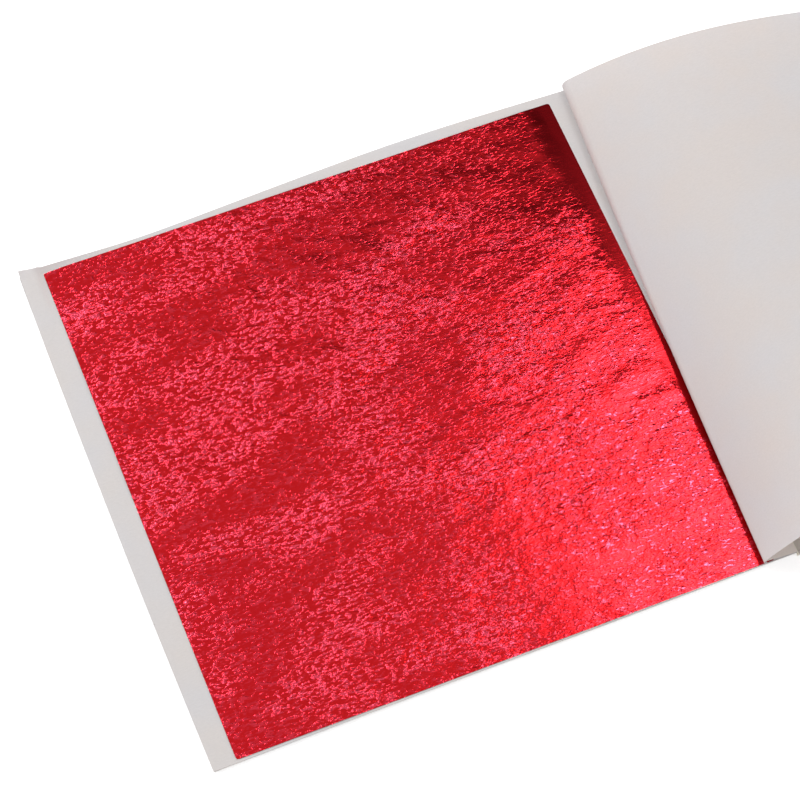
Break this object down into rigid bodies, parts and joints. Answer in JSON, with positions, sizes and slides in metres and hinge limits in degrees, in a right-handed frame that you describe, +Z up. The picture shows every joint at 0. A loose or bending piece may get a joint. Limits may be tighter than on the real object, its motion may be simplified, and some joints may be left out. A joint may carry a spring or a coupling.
{
  "type": "metal leaf booklet",
  "caption": "Open square booklet of thin tissues interleaved with loose red metal leaf, one tissue turned over the spine in a soft arch.",
  "frame": {"origin": "middle of the underside of the page block, on the table", "axes": "+X across the page to the spine and on over the open cover, +Y along the spine from foot to head, +Z up"},
  "size_m": [0.3047, 0.1571, 0.0304],
  "materials": {
    "metal_leaf": "red lacquered metal leaf, finely crinkled",
    "tissue": "matt thin tissue",
    "cover_card": "matt thin card",
    "spine_paper": "matt paper strip",
    "padding_glue": "dried padding glue"
  },
  "bodies": {
    "booklet_base": {"back_cover": "cover_card", "spine_strip": "spine_paper", "glue_line": "padding_glue"},
    "front_cover": {"front_cover": "cover_card"},
    "page_01": {"tissue_01": "tissue", "leaf_01": "metal_leaf"},
    "page_02": {"tissue_02": "tissue", "leaf_02": "metal_leaf"},
    "page_03": {"tissue_03": "tissue", "leaf_03": "metal_leaf"},
    "page_04": {"tissue_04": "tissue", "leaf_04": "metal_leaf"},
    "page_05": {"tissue_05": "tissue", "leaf_05": "metal_leaf"},
    "page_06": {"tissue_06": "tissue", "leaf_06": "metal_leaf"},
    "page_07": {"tissue_07": "tissue", "leaf_07": "metal_leaf"},
    "page_08": {"tissue_08": "tissue", "leaf_08": "metal_leaf"},
    "page_09": {"tissue_09": "tissue", "leaf_09": "metal_leaf"},
    "page_10": {"tissue_10": "tissue", "leaf_10": "metal_leaf"},
    "page_11": {"tissue_11": "tissue", "leaf_11": "metal_leaf"},
    "page_12": {"tissue_12": "tissue", "leaf_12": "metal_leaf"},
    "page_13": {"tissue_13": "tissue", "leaf_13": "metal_leaf"},
    "page_14": {"tissue_14": "tissue", "leaf_14": "metal_leaf"},
    "page_15": {"tissue_15": "tissue", "leaf_15": "metal_leaf"},
    "page_16": {"tissue_16": "tissue", "leaf_16": "metal_leaf"},
    "page_17": {"tissue_17": "tissue", "leaf_17": "metal_leaf"},
    "page_18": {"tissue_18": "tissue", "leaf_18": "metal_leaf"},
    "page_19": {"tissue_19": "tissue", "leaf_19": "metal_leaf"},
    "page_20": {"tissue_20": "tissue", "leaf_20": "metal_leaf"},
    "page_21": {"tissue_21": "tissue", "leaf_21": "metal_leaf"},
    "page_22": {"tissue_22": "tissue", "leaf_22": "metal_leaf"},
    "page_23": {"tissue_23": "tissue", "leaf_23": "metal_leaf"},
    "page_24": {"tissue_24": "tissue", "leaf_24": "metal_leaf"},
    "page_25": {"tissue_25": "tissue"},
    "leaf_25": {"leaf_25": "metal_leaf"},
    "raised_tissue_inner": {"raised_tissue_inner": "tissue"},
    "raised_tissue": {"raised_tissue": "tissue"}
  },
  "joints": [
    {"name": "front_cover_turn", "type": "hinge", "parent": "booklet_base", "child": "front_cover", "pos_m": [0.07633, 0, 0.00111], "axis": [0, -1, 0], "range_deg": [0, 180]},
    {"name": "page_01_turn", "type": "hinge", "parent": "booklet_base", "child": "page_01", "pos_m": [0.076, 0, 0.00138], "axis": [0, -1, 0], "range_deg": [-0.3751, 0]},
    {"name": "page_02_turn", "type": "hinge", "parent": "booklet_base", "child": "page_02", "pos_m": [0.076, 0, 0.00138], "axis": [0, -1, 0], "range_deg": [-0.7501, 0]},
    {"name": "page_03_turn", "type": "hinge", "parent": "booklet_base", "child": "page_03", "pos_m": [0.076, 0, 0.00138], "axis": [0, -1, 0], "range_deg": [-1.13, 0]},
    {"name": "page_04_turn", "type": "hinge", "parent": "booklet_base", "child": "page_04", "pos_m": [0.076, 0, 0.00138], "axis": [0, -1, 0], "range_deg": [-1.5, 0]},
    {"name": "page_05_turn", "type": "hinge", "parent": "booklet_base", "child": "page_05", "pos_m": [0.076, 0, 0.00138], "axis": [0, -1, 0], "range_deg": [-1.88, 0]},
    {"name": "page_06_turn", "type": "hinge", "parent": "booklet_base", "child": "page_06", "pos_m": [0.076, 0, 0.00138], "axis": [0, -1, 0], "range_deg": [-2.25, 0]},
    {"name": "page_07_turn", "type": "hinge", "parent": "booklet_base", "child": "page_07", "pos_m": [0.076, 0, 0.00138], "axis": [0, -1, 0], "range_deg": [-2.63, 0]},
    {"name": "page_08_turn", "type": "hinge", "parent": "booklet_base", "child": "page_08", "pos_m": [0.076, 0, 0.00138], "axis": [0, -1, 0], "range_deg": [-3, 0]},
    {"name": "page_09_turn", "type": "hinge", "parent": "booklet_base", "child": "page_09", "pos_m": [0.076, 0, 0.00138], "axis": [0, -1, 0], "range_deg": [-3.38, 0]},
    {"name": "page_10_turn", "type": "hinge", "parent": "booklet_base", "child": "page_10", "pos_m": [0.076, 0, 0.00138], "axis": [0, -1, 0], "range_deg": [-3.75, 0]},
    {"name": "page_11_turn", "type": "hinge", "parent": "booklet_base", "child": "page_11", "pos_m": [0.076, 0, 0.00138], "axis": [0, -1, 0], "range_deg": [-4.13, 0]},
    {"name": "page_12_turn", "type": "hinge", "parent": "booklet_base", "child": "page_12", "pos_m": [0.076, 0, 0.00138], "axis": [0, -1, 0], "range_deg": [-4.5, 0]},
    {"name": "page_13_turn", "type": "hinge", "parent": "page_12", "child": "page_13", "pos_m": [0.076, 0, 0.00138], "axis": [0, -1, 0], "range_deg": [-0.3751, 0]},
    {"name": "page_14_turn", "type": "hinge", "parent": "page_12", "child": "page_14", "pos_m": [0.076, 0, 0.00138], "axis": [0, -1, 0], "range_deg": [-0.7501, 0]},
    {"name": "page_15_turn", "type": "hinge", "parent": "page_12", "child": "page_15", "pos_m": [0.076, 0, 0.00138], "axis": [0, -1, 0], "range_deg": [-1.13, 0]},
    {"name": "page_16_turn", "type": "hinge", "parent": "page_12", "child": "page_16", "pos_m": [0.076, 0, 0.00138], "axis": [0, -1, 0], "range_deg": [-1.5, 0]},
    {"name": "page_17_turn", "type": "hinge", "parent": "page_12", "child": "page_17", "pos_m": [0.076, 0, 0.00138], "axis": [0, -1, 0], "range_deg": [-1.88, 0]},
    {"name": "page_18_turn", "type": "hinge", "parent": "page_12", "child": "page_18", "pos_m": [0.076, 0, 0.00138], "axis": [0, -1, 0], "range_deg": [-2.25, 0]},
    {"name": "page_19_turn", "type": "hinge", "parent": "page_12", "child": "page_19", "pos_m": [0.076, 0, 0.00138], "axis": [0, -1, 0], "range_deg": [-2.63, 0]},
    {"name": "page_20_turn", "type": "hinge", "parent": "page_12", "child": "page_20", "pos_m": [0.076, 0, 0.00138], "axis": [0, -1, 0], "range_deg": [-3, 0]},
    {"name": "page_21_turn", "type": "hinge", "parent": "page_12", "child": "page_21", "pos_m": [0.076, 0, 0.00138], "axis": [0, -1, 0], "range_deg": [-3.38, 0]},
    {"name": "page_22_turn", "type": "hinge", "parent": "page_12", "child": "page_22", "pos_m": [0.076, 0, 0.00138], "axis": [0, -1, 0], "range_deg": [-3.75, 0]},
    {"name": "page_23_turn", "type": "hinge", "parent": "page_12", "child": "page_23", "pos_m": [0.076, 0, 0.00138], "axis": [0, -1, 0], "range_deg": [-4.13, 0]},
    {"name": "page_24_turn", "type": "hinge", "parent": "page_12", "child": "page_24", "pos_m": [0.076, 0, 0.00138], "axis": [0, -1, 0], "range_deg": [-4.5, 0]},
    {"name": "page_25_turn", "type": "hinge", "parent": "page_24", "child": "page_25", "pos_m": [0.076, 0, 0.00138], "axis": [0, -1, 0], "range_deg": [-105, 0]},
    {"name": "leaf_25_slide_off", "type": "slide", "parent": "page_25", "child": "leaf_25", "axis": [0.9659, 0, -0.2588], "range_m": [-0.06, 0]},
    {"name": "raised_tissue_shift", "type": "slide", "parent": "booklet_base", "child": "raised_tissue_inner", "axis": [1, 0, 0], "range_m": [0, 0.011], "deforming": ["raised_tissue_inner"]},
    {"name": "raised_tissue_turn", "type": "hinge", "parent": "raised_tissue_inner", "child": "raised_tissue", "pos_m": [0.07095, 0, 0.00187], "axis": [-0.0566, -0.9984, 0], "range_deg": [0, 180], "deforming": ["raised_tissue"]}
  ],
  "couplings": [
    {"joint": "page_01_turn", "follows": "page_12_turn", "ratio": 0.083333},
    {"joint": "page_02_turn", "follows": "page_12_turn", "ratio": 0.16667},
    {"joint": "page_03_turn", "follows": "page_12_turn", "ratio": 0.25},
    {"joint": "page_04_turn", "follows": "page_12_turn", "ratio": 0.33333},
    {"joint": "page_05_turn", "follows": "page_12_turn", "ratio": 0.41667},
    {"joint": "page_06_turn", "follows": "page_12_turn", "ratio": 0.5},
    {"joint": "page_07_turn", "follows": "page_12_turn", "ratio": 0.58333},
    {"joint": "page_08_turn", "follows": "page_12_turn", "ratio": 0.66667},
    {"joint": "page_09_turn", "follows": "page_12_turn", "ratio": 0.75},
    {"joint": "page_10_turn", "follows": "page_12_turn", "ratio": 0.83333},
    {"joint": "page_11_turn", "follows": "page_12_turn", "ratio": 0.91667},
    {"joint": "page_13_turn", "follows": "page_24_turn", "ratio": 0.083333},
    {"joint": "page_14_turn", "follows": "page_24_turn", "ratio": 0.16667},
    {"joint": "page_15_turn", "follows": "page_24_turn", "ratio": 0.25},
    {"joint": "page_16_turn", "follows": "page_24_turn", "ratio": 0.33333},
    {"joint": "page_17_turn", "follows": "page_24_turn", "ratio": 0.41667},
    {"joint": "page_18_turn", "follows": "page_24_turn", "ratio": 0.5},
    {"joint": "page_19_turn", "follows": "page_24_turn", "ratio": 0.58333},
    {"joint": "page_20_turn", "follows": "page_24_turn", "ratio": 0.66667},
    {"joint": "page_21_turn", "follows": "page_24_turn", "ratio": 0.75},
    {"joint": "page_22_turn", "follows": "page_24_turn", "ratio": 0.83333},
    {"joint": "page_23_turn", "follows": "page_24_turn", "ratio": 0.91667},
    {"joint": "raised_tissue_shift", "follows": "page_25_turn", "m_per_rad": -0.0060024},
    {"joint": "raised_tissue_turn", "follows": "front_cover_turn", "ratio": 1}
  ]
}
